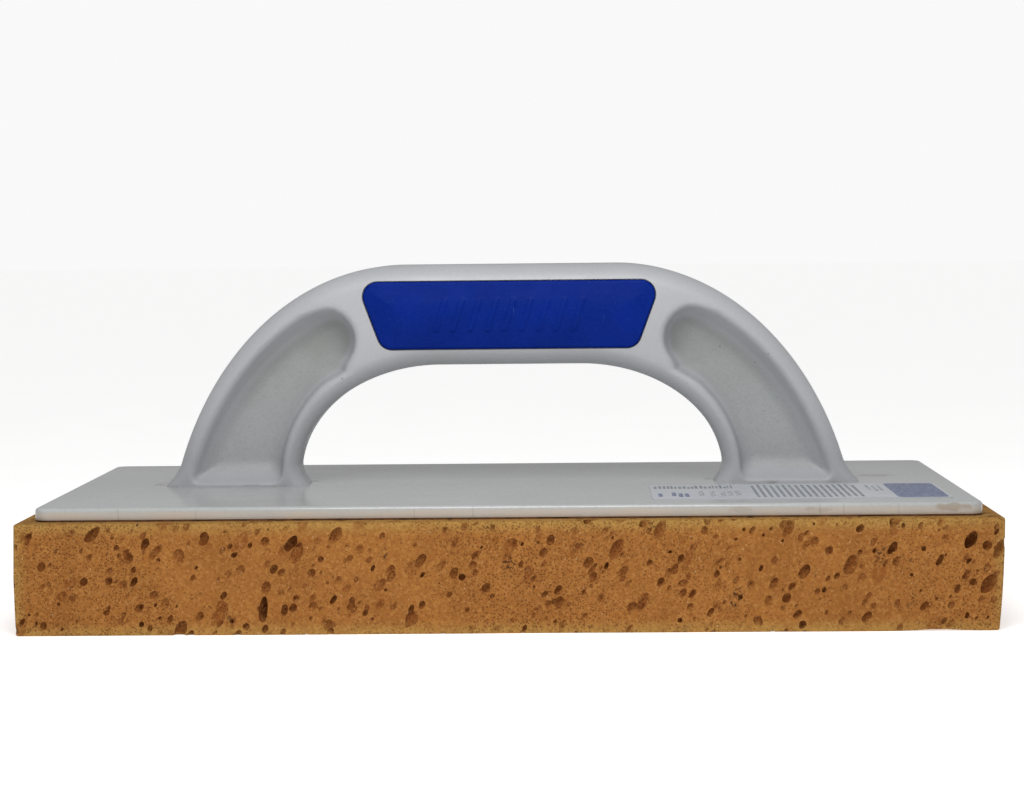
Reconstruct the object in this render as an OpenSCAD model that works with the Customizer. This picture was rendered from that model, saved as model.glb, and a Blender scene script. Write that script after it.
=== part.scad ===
// Sponge float for washing off grout. A sponge pad is glued under a plastic base plate, and
// an arched handle is screwed to the plate from below. The feet stand on the plate's middle
// line, and a soft inlay lies in each side of the grip.
// Origin: centre of the sponge's underside. +X runs along the float, +Y across it, +Z up.
// All sizes are in millimetres.

/* [Sponge pad] */
// Length of the sponge pad
sponge_l = 280; // [260:5:320]
// Width of the sponge pad
sponge_w = 140; // [120:5:180]
// Thickness of the sponge pad
sponge_t = 32; // [20:1:40]
// Radius of the pad's upright corners
sponge_r = 1.5; // [1:0.5:6]

/* [Base plate] */
// Strip of bare sponge left around the plate
plate_inset = 5; // [3:0.5:8]
// Thickness of the base plate
plate_t = 3.5; // [3:0.1:5]
// Corner radius of the base plate
plate_r = 4; // [2:0.5:8]
// Thickness of the film of glue between sponge and plate
glue_t = 0.5; // [0.3:0.1:1]

/* [Handle arch] */
// Height of the handle above the plate
handle_h = 67.6; // [64:0.2:76]
// Height of the grip's section, top to underside
grip_h = 30.6; // [26:0.2:34]
// Width of the grip across the float
grip_w = 28; // [26:0.5:32]
// Width of the feet across the float
foot_w = 17; // [15:0.5:22]
// Half the length of the straight top
top_half = 32.5; // [28:0.5:36]
// Reach of each outer shoulder beyond the straight top
shoulder_l = 74.5; // [70:0.5:80]
// Rise of the quarter ellipse that each outer shoulder follows
shoulder_h = 95.5; // [90:0.5:100]
// Half the length of the grip's straight underside
under_half = 21.5; // [18:0.5:26]
// Reach of each inner bend beyond the straight underside
bend_l = 44; // [40:0.5:46]
// Rise of the quarter ellipse that each inner bend follows
bend_h = 34.4; // [32:0.2:36]

/* [Handle section] */
// Edge radius of the grip
grip_r = 6; // [4:0.5:9]
// Edge radius of the feet
foot_r = 4; // [2:0.5:5]
// How far a foot spreads at the plate, at each end
toe_spread = 3; // [1:0.5:4]
// Height over which a foot spreads
toe_h = 7.5; // [5:0.5:9]
// Thickness of the web left between the two pockets of a leg
web_t = 6; // [5:0.5:8]
// Thickness of the lip under each pocket
pocket_lip = 1; // [0.8:0.1:3]

/* [Grip inlays] */
// Height of an inlay
inlay_h = 20.7; // [16:0.1:22]
// Length of an inlay's straight top edge, measured to the sharp corners
inlay_top = 92.8; // [84:0.2:94]
// Length of an inlay's bottom edge, measured to the sharp corners
inlay_bottom = 77.4; // [70:0.2:84]
// Corner radius of an inlay
inlay_r = 4.5; // [2:0.5:6]
// Thickness of an inlay
inlay_t = 2; // [1.5:0.1:3]

/* [Screws] */
// Length of a screw
screw_l = 14; // [12:1:16]
// Diameter over the screw's thread
screw_d = 3.5; // [3:0.1:3.9]

/* [Label] */
// Length of the label
label_l = 86; // [60:1:90]
// Width of the label
label_w = 40; // [30:1:42]

/* [Hidden] */
$fn = 48;

// Colours
sponge_colour = [0.70, 0.46, 0.22];
glue_colour = [0.34, 0.22, 0.10];
plate_colour = [0.64, 0.65, 0.64];
handle_colour = [0.76, 0.76, 0.77];
inlay_colour = [0.07, 0.15, 0.55];
steel_colour = [0.62, 0.62, 0.64];
label_colour = [0.80, 0.82, 0.84];

// Levels
glue_z = sponge_t;
plate_z = sponge_t + glue_t;
deck_z = plate_z + plate_t;

// Plate
plate_l = sponge_l - 2 * plate_inset;
plate_w = sponge_w - 2 * plate_inset;
glue_margin = 1;

// Centres of the two ellipses that shape a leg, with heights above the deck
shoulder_x = top_half;
shoulder_z = handle_h - shoulder_h;
bend_x = under_half;
bend_z = handle_h - grip_h - bend_h;
shoulder_start = asin(-shoulder_z / shoulder_h);
bend_start = asin(-bend_z / bend_h);

// Rings of the swept arch
toe_steps = 6;
leg_steps = 20;
corner_steps = 4;
toe_share = 0.13;

// Pocket of a leg: it lies between two ellipses inside the leg's own, and has a round end
pocket_shoulder_l = shoulder_l - 4.5;
pocket_shoulder_h = shoulder_h - 5.8;
pocket_bend_l = bend_l + 4.6;
pocket_bend_h = bend_h + 7.2;
pocket_corner_r = 3;
pocket_end_r = 9.9;
pocket_end_x = 56.6;
pocket_end_z = 44.8;
pocket_outer_start = asin((pocket_lip + pocket_corner_r + 0.9 - shoulder_z) / pocket_shoulder_h);
pocket_outer_end = 65;
pocket_inner_start = 2;
pocket_inner_end = 52;
pocket_arc_steps = 14;
end_arc_start = 60;
end_arc_end = 238;

// Inlay, with heights above the deck
inlay_bottom_z = handle_h - grip_h + (grip_h - inlay_h) / 2;
inlay_top_z = inlay_bottom_z + inlay_h;
inlay_lean = atan((inlay_top - inlay_bottom) / 2 / inlay_h);
peg_r = 2;
peg_l = 3;
peg_gap = 0.1;
peg_places = [-28, 0, 28];
peg_z = (inlay_bottom_z + inlay_top_z) / 2;

// Screws and spigots: each foot has one spigot between two screws
spigot_x = 83;
spigot_r = 2.5;
spigot_l = 2.5;
spigot_gap = 0.1;
screw_spread = 9;
screw_hole_r = screw_d / 2 + 0.25;
head_r = screw_d * 0.97;
head_h = 1.9;
head_sink = 0.2;
core_r = screw_d * 0.36;
pilot_r = screw_d * 0.4;
thread_pitch = 1.4;
thread_start = plate_t;
tip_h = 2;

// Label, in front of the right foot
label_t = 0.2;
label_x = 85;
label_y = -34;
label_r = 1;

function mix(a, b, share) = a + (b - a) * share;

function arc_points(x, y, r, from, to, steps) =
    [for (i = [0:steps]) let (a = mix(from, to, i / steps)) [x + r * cos(a), y + r * sin(a)]];

function ellipse_points(x, y, rx, ry, from, to, steps) =
    [for (i = [0:steps]) let (a = mix(from, to, i / steps)) [x + rx * cos(a), y + ry * sin(a)]];

// How far a foot has spread at height h above the deck
function toe(h) = h < toe_h ? toe_spread * pow(1 - h / toe_h, 2) : 0;

// Points on the outer and inner side of the right leg; share runs from 0 at the deck to 1
function outer_point(share) =
    let (a = mix(shoulder_start, 90, share), h = shoulder_z + shoulder_h * sin(a))
    [shoulder_x + shoulder_l * cos(a) + toe(h), h];

function inner_point(share) =
    let (a = mix(bend_start, 90, share), h = bend_z + bend_h * sin(a))
    [bend_x + bend_l * cos(a) - toe(h), h];

// Steps are close together where the foot spreads and even above it
leg_shares = concat([for (i = [0:toe_steps - 1]) toe_share * i / toe_steps],
                    [for (i = [0:leg_steps]) mix(toe_share, 1, i / leg_steps)]);

// One ring of the arch: a rectangle with round corners, set across the leg
function ring(outer, inner, half_w, r, side) =
    let (run = outer - inner, half_l = norm(run) / 2, along = run / norm(run),
         mid = (outer + inner) / 2)
    [for (corner = [0:3], i = [0:corner_steps])
        let (a = corner * 90 + 90 * i / corner_steps,
             sx = corner == 0 || corner == 3 ? 1 : -1,
             sy = corner < 2 ? 1 : -1,
             u = sx * (half_l - r) + r * cos(a),
             v = sy * (half_w - r) + r * sin(a))
        [side * (mid.x + along.x * u), v, mid.y + along.y * u]];

function leg_ring(share, side) =
    let (outer = outer_point(share), inner = inner_point(share),
         half_w = mix(foot_w, grip_w, sin(90 * share)) / 2)
    ring(outer, inner, half_w, mix(foot_r, grip_r, share), side);

last_share = len(leg_shares) - 1;
arch_rings = concat([for (i = [0:last_share]) leg_ring(leg_shares[i], 1)],
                    [for (i = [0:last_share]) leg_ring(leg_shares[last_share - i], -1)]);
ring_n = 4 * (corner_steps + 1);
ring_count = len(arch_rings);

// Outline of the pocket of the right leg, as [x, height above the deck]
pocket_outline = concat(
    arc_points(bend_x + pocket_bend_l + pocket_corner_r, pocket_lip + pocket_corner_r,
               pocket_corner_r, 180, 270, 5),
    let (edge = ellipse_points(shoulder_x, shoulder_z, pocket_shoulder_l, pocket_shoulder_h,
                               pocket_outer_start, pocket_outer_start, 1)[0])
    arc_points(edge.x - pocket_corner_r * cos(17), pocket_lip + pocket_corner_r,
               pocket_corner_r, 270, 377, 6),
    ellipse_points(shoulder_x, shoulder_z, pocket_shoulder_l, pocket_shoulder_h,
                   pocket_outer_start + 1, pocket_outer_end, pocket_arc_steps),
    arc_points(pocket_end_x, pocket_end_z, pocket_end_r, end_arc_start, end_arc_end, 12),
    ellipse_points(bend_x, bend_z, pocket_bend_l, pocket_bend_h,
                   pocket_inner_end, pocket_inner_start, pocket_arc_steps));

// Outline of an inlay, made a little larger or smaller by grow
function inlay_corner(level, side, r) =
    let (half = mix(inlay_bottom, inlay_top, (level - inlay_bottom_z) / inlay_h) / 2)
    side * (half - r / cos(inlay_lean));

function inlay_outline() =
    let (low = inlay_bottom_z + inlay_r, high = inlay_top_z - inlay_r,
         low_x = inlay_corner(low, 1, inlay_r), high_x = inlay_corner(high, 1, inlay_r))
    concat(arc_points(low_x, low, inlay_r, -90, -inlay_lean, 6),
           arc_points(high_x, high, inlay_r, -inlay_lean, 90, 8),
           arc_points(-high_x, high, inlay_r, 90, 180 + inlay_lean, 8),
           arc_points(-low_x, low, inlay_r, 180 + inlay_lean, 270, 6));

// A flat slab with round corners, standing on z = 0
module slab(l, w, t, r) {
    linear_extrude(t)
        polygon(concat(arc_points(l / 2 - r, w / 2 - r, r, 0, 90, 6),
                       arc_points(r - l / 2, w / 2 - r, r, 90, 180, 6),
                       arc_points(r - l / 2, r - w / 2, r, 180, 270, 6),
                       arc_points(l / 2 - r, r - w / 2, r, 270, 360, 6)));
}

// An outline in the upright plane y = 0, given depth from the given y towards +y
module upright(y, depth) {
    translate([0, y + depth, 0]) rotate([90, 0, 0]) linear_extrude(depth) children();
}

// Places its children at the four screws
module at_screws() {
    for (foot = [-1, 1], place = [-1, 1])
        translate([foot * spigot_x + place * screw_spread, 0, plate_z]) children();
}

module sponge_pad() {
    color(sponge_colour) slab(sponge_l, sponge_w, sponge_t, sponge_r);
}

module glue_film() {
    color(glue_colour) translate([0, 0, glue_z])
        slab(plate_l - 2 * glue_margin, plate_w - 2 * glue_margin, glue_t, plate_r);
}

module base_plate() {
    color(plate_colour) difference() {
        translate([0, 0, plate_z]) slab(plate_l, plate_w, plate_t, plate_r);
        at_screws() {
            translate([0, 0, -1]) cylinder(h = plate_t + 2, r = screw_hole_r);
            translate([0, 0, -0.01])
                cylinder(h = head_h + head_sink, r1 = head_r + 0.3, r2 = screw_hole_r);
        }
        for (foot = [-1, 1])
            translate([foot * spigot_x, 0, deck_z - spigot_l - spigot_gap])
                cylinder(h = spigot_l + 1, r = spigot_r + spigot_gap);
    }
}

// The arch before its pockets, recesses and holes are cut
module arch() {
    points = [for (arch_ring = arch_rings) each arch_ring];
    sides = [for (k = [0:ring_count - 2], i = [0:ring_n - 1])
        let (j = (i + 1) % ring_n, a = k * ring_n, b = a + ring_n)
        each [[a + i, b + i, b + j], [a + i, b + j, a + j]]];
    first_cap = [for (i = [0:ring_n - 1]) i];
    last_cap = [for (i = [0:ring_n - 1]) ring_count * ring_n - 1 - i];
    polyhedron(points = points, faces = concat(sides, [first_cap], [last_cap]));
}

module handle_body() {
    color(handle_colour) translate([0, 0, deck_z]) {
        difference() {
            arch();
            for (side = [0, 1]) mirror([side, 0, 0]) {
                upright(-grip_w, grip_w - web_t / 2) polygon(pocket_outline);
                upright(web_t / 2, grip_w - web_t / 2) polygon(pocket_outline);
            }
            for (y = [-grip_w / 2 - 1, grip_w / 2 - inlay_t])
                upright(y, inlay_t + 1) polygon(inlay_outline());
            for (x = peg_places)
                translate([x, 0, peg_z]) rotate([90, 0, 0])
                    difference() {
                        cylinder(h = grip_w, r = peg_r + peg_gap, center = true);
                        cylinder(h = grip_w - 2 * (inlay_t + peg_l + peg_gap), r = peg_r + 1,
                                 center = true);
                    }
            translate([0, 0, -deck_z]) at_screws()
                translate([0, 0, plate_t - 1]) cylinder(h = screw_l - plate_t + 2, r = pilot_r);
        }
        for (foot = [-1, 1])
            translate([foot * spigot_x, 0, -spigot_l]) cylinder(h = spigot_l + 1, r = spigot_r);
    }
}

// An inlay for the front of the grip, with pegs that hold it in the recess
module grip_inlay() {
    color(inlay_colour) translate([0, 0, deck_z]) {
        upright(-grip_w / 2, inlay_t) polygon(inlay_outline());
        for (x = peg_places)
            translate([x, -grip_w / 2 + inlay_t / 2, peg_z]) rotate([-90, 0, 0])
                cylinder(h = peg_l + inlay_t / 2, r = peg_r);
    }
}

module grip_inlay_front() {
    grip_inlay();
}

module grip_inlay_rear() {
    mirror([0, 1, 0]) grip_inlay();
}

// A countersunk self-tapping screw, head down on z = 0, with ridges for its thread
module screw() {
    color(steel_colour) difference() {
        union() {
            cylinder(h = head_h, r1 = head_r, r2 = core_r);
            cylinder(h = screw_l - tip_h, r = core_r);
            translate([0, 0, screw_l - tip_h]) cylinder(h = tip_h, r1 = core_r, r2 = 0.3);
            for (z = [thread_start : thread_pitch : screw_l - tip_h - thread_pitch / 2])
                translate([0, 0, z]) {
                    cylinder(h = thread_pitch / 2, r1 = core_r - 0.05, r2 = screw_d / 2);
                    translate([0, 0, thread_pitch / 2])
                        cylinder(h = thread_pitch / 4, r1 = screw_d / 2, r2 = core_r - 0.05);
                }
        }
        for (turn = [0, 90]) rotate([0, 0, turn])
            translate([-head_r * 0.6, -0.45, -1]) cube([head_r * 1.2, 0.9, 2.1]);
    }
}

module placed_screw(foot, place) {
    translate([foot * spigot_x + place * screw_spread, 0, plate_z + head_sink]) screw();
}

module screw_left_outer() { placed_screw(-1, -1); }
module screw_left_inner() { placed_screw(-1, 1); }
module screw_right_inner() { placed_screw(1, -1); }
module screw_right_outer() { placed_screw(1, 1); }

module label_sticker() {
    color(label_colour) translate([label_x, label_y, deck_z])
        slab(label_l, label_w, label_t, label_r);
}

sponge_pad();
glue_film();
base_plate();
handle_body();
grip_inlay_front();
grip_inlay_rear();
screw_left_outer();
screw_left_inner();
screw_right_inner();
screw_right_outer();
label_sticker();
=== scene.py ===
import math

import bmesh
import bpy
import numpy as np
from mathutils import Matrix, Vector


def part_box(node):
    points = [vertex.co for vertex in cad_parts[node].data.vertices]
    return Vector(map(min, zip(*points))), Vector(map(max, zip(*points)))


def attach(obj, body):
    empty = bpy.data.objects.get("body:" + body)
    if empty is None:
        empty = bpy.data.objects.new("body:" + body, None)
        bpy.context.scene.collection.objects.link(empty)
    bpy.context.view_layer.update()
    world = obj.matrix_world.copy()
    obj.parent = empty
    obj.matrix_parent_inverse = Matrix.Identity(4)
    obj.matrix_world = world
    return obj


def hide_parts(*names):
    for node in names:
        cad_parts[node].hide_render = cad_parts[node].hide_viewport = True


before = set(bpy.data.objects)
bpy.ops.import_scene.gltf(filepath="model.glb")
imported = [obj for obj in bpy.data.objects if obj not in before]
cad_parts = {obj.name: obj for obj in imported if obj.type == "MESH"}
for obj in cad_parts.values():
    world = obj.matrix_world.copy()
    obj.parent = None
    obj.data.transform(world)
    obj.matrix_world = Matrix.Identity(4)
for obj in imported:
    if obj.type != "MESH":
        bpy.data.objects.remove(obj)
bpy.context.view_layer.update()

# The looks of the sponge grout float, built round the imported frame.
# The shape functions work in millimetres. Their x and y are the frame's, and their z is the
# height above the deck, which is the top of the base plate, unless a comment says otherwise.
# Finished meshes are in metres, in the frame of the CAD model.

MM = 0.001
SEED = 12


# ---------------------------------------------------------------- sizes

def box_mm(node):
    """Lowest and highest corner of a CAD node, in millimetres."""
    low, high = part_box(node)
    return np.array(low) / MM, np.array(high) / MM


SPONGE_LOW, SPONGE_HIGH = box_mm("sponge_pad")
GLUE_LOW, GLUE_HIGH = box_mm("glue_film")
PLATE_LOW, PLATE_HIGH = box_mm("base_plate")
HANDLE_LOW, HANDLE_HIGH = box_mm("handle_body")
LABEL_LOW, LABEL_HIGH = box_mm("label_sticker")
DECK = PLATE_HIGH[2]

# Handle: each shoulder and each inner bend is a quarter ellipse
HANDLE_H = HANDLE_HIGH[2] - DECK
GRIP_H = 30.6
GRIP_W = 28.0
FOOT_W = 17.0
TOP_HALF = 32.5
SHOULDER_L = 74.5
SHOULDER_H = 95.5
UNDER_HALF = 21.5
BEND_L = 44.0
BEND_H = 34.4
SHOULDER_Z = HANDLE_H - SHOULDER_H
BEND_Z = HANDLE_H - GRIP_H - BEND_H
SHOULDER_START = math.asin(-SHOULDER_Z / SHOULDER_H)
BEND_START = math.asin(-BEND_Z / BEND_H)
GRIP_R = 6.0
FOOT_R = 4.0
CROWN = 2.0
FOOT_CROWN_SHARE = 0.35
TOE_SPREAD = 3.0
TOE_H = 7.5
# The handle is shaped this much too deep, then cut off level with the deck
OVERRUN = 1.5

# Pockets in the legs
WEB_T = 6.0
POCKET_LIP = 1.0
POCKET_SHOULDER_L = SHOULDER_L - 4.5
POCKET_SHOULDER_H = SHOULDER_H - 5.8
POCKET_BEND_L = BEND_L + 4.6
POCKET_BEND_H = BEND_H + 7.2
# Round upper end of a pocket: its middle, the way it faces and how softly it joins the bend
POCKET_END = (56.6, 44.8)
POCKET_END_WAY = (-0.856, 0.517)
POCKET_END_R = 10.0
POCKET_END_BLEND = 5.0
POCKET_CORNER_R = 3.0
POCKET_FLOOR_R = 3.5
# The mouth's edge is sharper at the deck than higher up the leg
POCKET_MOUTH_R = 1.7
POCKET_LIP_R = 0.45
MOUTH_CHANGE = (POCKET_LIP + 0.5, POCKET_LIP + 6)
POCKET_OUTER_DRAFT = 0.55
POCKET_INNER_DRAFT = 0.22

# Inlays in the grip: the top edge is longer than the bottom one
INLAY_H = 20.7
INLAY_TOP = 92.8
INLAY_BOTTOM = 77.4
INLAY_R = 4.5
INLAY_T = 2.0
INLAY_GAP = 0.22
INLAY_Z = HANDLE_H - GRIP_H / 2
INLAY_EDGE_R = 0.8
# An inlay starts a little below the handle's face and swells towards its own middle
INLAY_SUNK = 0.1
INLAY_SWELL = 0.9
INLAY_SWELL_REACH = 10.3
# The inlays are shaped in a box that reaches this far in front of the grip
INLAY_PROUD = 0.6
RIB_PITCH = 5.2
RIB_COUNT = 9
RIB_W = 1.7
RIB_L = 10.0
RIB_H = 0.32
RIB_LEAN = 0.32
RIB_FLANK = 0.35
PEG_R = 2.0
PEG_L = 3.0
PEG_GAP = 0.1
PEG_PLACES = (-28.0, 0.0, 28.0)

# Spigots and screws under the feet
SPIGOT_X = 83.0
SPIGOT_R = 2.5
SPIGOT_L = 2.5
SCREW_SPREAD = 9.0
PILOT_R = 1.4
PILOT_L = 12.5
SCREW_HOLE_R = 2.0
SCREW_PLACES = [foot * SPIGOT_X + place * SCREW_SPREAD for foot in (-1, 1) for place in (-1, 1)]
# A cut starts this far outside the solid that it cuts
CLEAR = 1.0

# Base plate
PLATE_TOP_R = 1.2
PLATE_BOTTOM_R = 0.15
PLATE_CORNER_R = 4.0

# Sponge pad
PAD_EDGE_R = 0.7
PAD_CELL = 5.0
# How many pores a square decimetre of side has, short radius, stretch, segments and rings
PORE_KINDS = ((34, (1.2, 2.1), (1.5, 2.4), 16, 9),
              (230, (0.72, 1.25), (1.1, 1.8), 11, 7),
              (110, (0.42, 0.70), (1.0, 1.5), 8, 5))
# The pad's underside and its top face have fewer pores than its sides
SOLE_SHARE = 0.55
RIM_SHARE = 0.25
# The pit attribute, which sets the painted shade in the pores, is 1 at this depth below the pad's
# faces
PIT_DEPTH = 3.2
# The pad's right end curls in at its foot, its left end and long sides are pinched in, the long
# sides unevenly, and a lip of the lower front edge is lifted. A bend has a reach into the pad
# and a distance that it moves the foam.
CURL_L = 28.0
CURL = 1.5
CURL_TOP = 0.1
PINCH_L = 15.0
END_PINCH = 0.35
SIDE_PINCH = 0.25
SIDE_WAVE = 0.14
LIP_X = 122.0
LIP_HALF = 11.0
LIP_DEPTH = 10.0
LIP_H = 5.0
LIP_LIFT = 0.6

# Glue film: length of a step along its ragged edge, the edge's range of insets, and how close
# to a side of the plate a point has to be to take them
GLUE_STEP = 1.6
GLUE_INSET = (0.5, -0.15)
GLUE_RIM = 5.0

# Label: how far its ink stands proud and reaches in, and its plain block with the distance
# from the label's right end to the block's middle
LABEL_R = 1.0
INK_T = 0.02
BLOCK_SIZE = (14.6, 38.8)
BLOCK_MIDDLE = 8.2
BLOCK_R = 1.8
# Places of the print, measured from the label's left front corner
BARS_X = (1.2, 25)
BARS_Y = 28.5
BLUE_DASHES_X = (1.9, 5.9, 7.8, 9.6)
GREY_DASHES_X = (13.8, 17.1, 20.1, 22.3, 24.6)
LINES_X = 30.3
LINE_PITCH = 1.88
LINE_COUNT = 17
NOTE_X = 64.4
NOTE_PITCH = 1.7
NOTE_STEP = 3.0

# Size of the grid cells in which the handle and the inlays are shaped
HANDLE_STEP = 0.75
INLAY_STEP = 0.42


# ---------------------------------------------------------------- mesh helpers

def add_object(name, data):
    """Puts a new object with the given mesh, camera or lamp into the scene."""
    made = bpy.data.objects.new(name, data)
    bpy.context.scene.collection.objects.link(made)
    return made


def link_piece(name, mesh, material, node):
    """Shows a mesh as a piece that rides on the float, in place of a CAD node."""
    piece = add_object(name, mesh)
    mesh.materials.append(material)
    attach(piece, "root")
    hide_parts(node)
    return piece


def mesh_from(name, points, faces):
    """A mesh in metres from points in millimetres."""
    mesh = bpy.data.meshes.new(name)
    mesh.from_pydata((np.asarray(points, float) * MM).tolist(), [], [tuple(f) for f in faces])
    mesh.validate()
    mesh.update()
    return mesh


def set_outward(mesh):
    """Turns every face outwards."""
    bm = bmesh.new()
    bm.from_mesh(mesh)
    bmesh.ops.recalc_face_normals(bm, faces=bm.faces)
    bm.to_mesh(mesh)
    bm.free()


def shade(mesh, sharp_degrees):
    """Smooth shading, with a crease wherever two faces meet at more than the given angle."""
    for polygon in mesh.polygons:
        polygon.use_smooth = True
    mesh.set_sharp_from_angle(angle=math.radians(sharp_degrees))


def prism(outline, low, high, axis="z"):
    """Points and faces of an outline drawn out along an axis; the outline's two numbers are
    the other two coordinates in x, y, z order."""
    count = len(outline)
    rows = []
    for level in (low, high):
        for a, b in outline:
            rows.append({"x": (level, a, b), "y": (a, level, b), "z": (a, b, level)}[axis])
    sides = [(i, (i + 1) % count, count + (i + 1) % count, count + i) for i in range(count)]
    return rows, sides + [tuple(range(count))[::-1], tuple(range(count, 2 * count))]


def circle(x, y, r, count=40):
    """Outline of a circle."""
    return [(x + r * math.cos(2 * math.pi * i / count), y + r * math.sin(2 * math.pi * i / count))
            for i in range(count)]


def arc(x, y, r, start, end, count):
    """Points along an arc, with its angles in degrees."""
    return [(x + r * math.cos(math.radians(a)), y + r * math.sin(math.radians(a)))
            for a in np.linspace(start, end, count)]


def round_rectangle(length, width, r, count=9):
    """Outline of a rectangle with round corners, centred on the origin."""
    x, y = length / 2 - r, width / 2 - r
    return (arc(x, y, r, 0, 90, count) + arc(-x, y, r, 90, 180, count)
            + arc(-x, -y, r, 180, 270, count) + arc(x, -y, r, 270, 360, count))


def joined(solids):
    """One list of points and one of faces from several."""
    points, faces = [], []
    for solid_points, solid_faces in solids:
        shift = len(points)
        points += list(solid_points)
        faces += [tuple(shift + i for i in face) for face in solid_faces]
    return points, faces


def carve(piece, solids, operation="DIFFERENCE"):
    """Cuts separate closed solids out of a piece, or adds them to it."""
    mesh = mesh_from("cutter", *joined(solids))
    set_outward(mesh)
    cutter = add_object("cutter", mesh)
    change = piece.modifiers.new("carve", "BOOLEAN")
    change.operation = operation
    change.solver = "MANIFOLD"
    change.object = cutter
    depsgraph = bpy.context.evaluated_depsgraph_get()
    result = bpy.data.meshes.new_from_object(piece.evaluated_get(depsgraph))
    piece.modifiers.clear()
    piece.data = result
    bpy.data.objects.remove(cutter)


def surface_net(distance, low, high, step):
    """Points and quads of the surface where a distance function is zero, inside a box."""
    axes = [np.arange(low[i] - 1.5 * step, high[i] + 2.5 * step, step) for i in range(3)]
    grid = np.stack(np.meshgrid(*axes, indexing="ij"), -1)
    value = distance(grid[..., 0], grid[..., 1], grid[..., 2])
    cells = tuple(n - 1 for n in value.shape)
    corners = [(i, j, k) for i in (0, 1) for j in (0, 1) for k in (0, 1)]

    def at(corner):
        return tuple(slice(c, c + n) for c, n in zip(corner, cells))

    # One point in each cell that the surface crosses: the mean of its edges' crossings
    total = np.zeros(cells + (3,))
    hits = np.zeros(cells)
    for start in corners:
        for axis in range(3):
            if start[axis]:
                continue
            end = tuple(1 if i == axis else c for i, c in enumerate(start))
            a, b = value[at(start)], value[at(end)]
            crossed = (a < 0) != (b < 0)
            share = np.where(crossed, a / np.where(crossed, a - b, 1), 0)
            place = np.zeros(cells + (3,))
            place[:] = start
            place[..., axis] = share
            total += place * crossed[..., None]
            hits += crossed
    used = hits > 0
    index = np.full(cells, -1)
    index[used] = np.arange(used.sum())
    points = grid[:-1, :-1, :-1][used] + total[used] / hits[used][:, None] * step

    # Draw each point onto the surface along the slope of the function
    small = step * 0.05
    for _ in range(4):
        here = distance(*points.T)
        slope = np.stack([(distance(*(points + small * unit).T) - distance(*(points - small * unit).T))
                          for unit in np.eye(3)], -1) / (2 * small)
        pull = here / np.maximum((slope ** 2).sum(-1), 0.1)
        points -= slope * np.clip(pull, -step / 2, step / 2)[:, None]

    # One quad round each grid edge that the surface crosses
    quads = []
    for axis in range(3):
        b, c = (axis + 1) % 3, (axis + 2) % 3
        first = [slice(1, n) for n in cells]
        first[axis] = slice(0, cells[axis])
        second = list(first)
        second[axis] = slice(1, cells[axis] + 1)
        a_value, b_value = value[tuple(first)], value[tuple(second)]
        rows = []
        for shift_b, shift_c in ((0, 0), (1, 0), (1, 1), (0, 1)):
            part = [slice(0, n) for n in cells]
            part[b] = slice(1 - shift_b, cells[b] - shift_b)
            part[c] = slice(1 - shift_c, cells[c] - shift_c)
            rows.append(index[tuple(part)])
        loop = np.stack(rows, -1)
        quads.append(loop[(a_value >= 0) & (b_value < 0)])
        quads.append(loop[(a_value < 0) & (b_value >= 0)][:, ::-1])
    return points, np.concatenate(quads)


# ---------------------------------------------------------------- shape functions

def ellipse_distance(across, up, reach, rise):
    """Distance to an ellipse centred on the origin, true near its edge; negative inside."""
    near = np.hypot(across / reach, up / rise)
    steep = np.hypot(across / reach ** 2, up / rise ** 2)
    return near * (near - 1) / np.maximum(steep, 1e-6)


def round_max(a, b, r):
    """Common part of two shapes, with a round edge of radius r."""
    return np.minimum(-r, np.maximum(a, b)) + np.hypot(np.maximum(a + r, 0), np.maximum(b + r, 0))


def smooth_min(a, b, blend):
    """Both shapes together, with the hollow between them filled a little."""
    share = np.clip(0.5 + (b - a) / (2 * blend), 0, 1)
    return b + (a - b) * share - blend * share * (1 - share)


def mix(a, b, share):
    """The number that lies the given share of the way from a to b."""
    return a + (b - a) * share


def smooth_step(low, high, value):
    """Rises smoothly from 0 at low to 1 at high."""
    share = np.clip((value - low) / (high - low), 0, 1)
    return share * share * (3 - 2 * share)


def leg_share(x, z):
    """How far along a leg a point is: 0 at the deck and 1 on the grip. x counts outwards."""
    outer = np.arctan2((z - SHOULDER_Z) / SHOULDER_H, np.maximum(x - TOP_HALF, 0) / SHOULDER_L)
    inner = np.arctan2((z - BEND_Z) / BEND_H, np.maximum(x - UNDER_HALF, 0) / BEND_L)
    quarter = math.pi / 2
    return np.clip(((outer - SHOULDER_START) / (quarter - SHOULDER_START)
                    + (inner - BEND_START) / (quarter - BEND_START)) / 2, 0, 1)


def arch_distance(x, z):
    """Distance to the handle's side outline."""
    spread = TOE_SPREAD * (1 - np.clip(z / TOE_H, 0, 1)) ** 2
    outer = ellipse_distance(np.maximum(x - TOP_HALF, 0), z - SHOULDER_Z, SHOULDER_L, SHOULDER_H)
    inner = ellipse_distance(np.maximum(x - UNDER_HALF, 0), z - BEND_Z, BEND_L, BEND_H)
    return np.maximum(outer, -inner) - spread


def face_depth(x, z):
    """How far the handle's slightly crowned side face is from the middle plane."""
    share = leg_share(x, z)
    half = mix(FOOT_W, GRIP_W, np.sin(share * math.pi / 2)) / 2
    crown = CROWN * mix(FOOT_CROWN_SHARE, 1, share)
    return half - crown * np.clip(1 + arch_distance(x, z) / (GRIP_H / 2), 0, 1) ** 2


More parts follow.
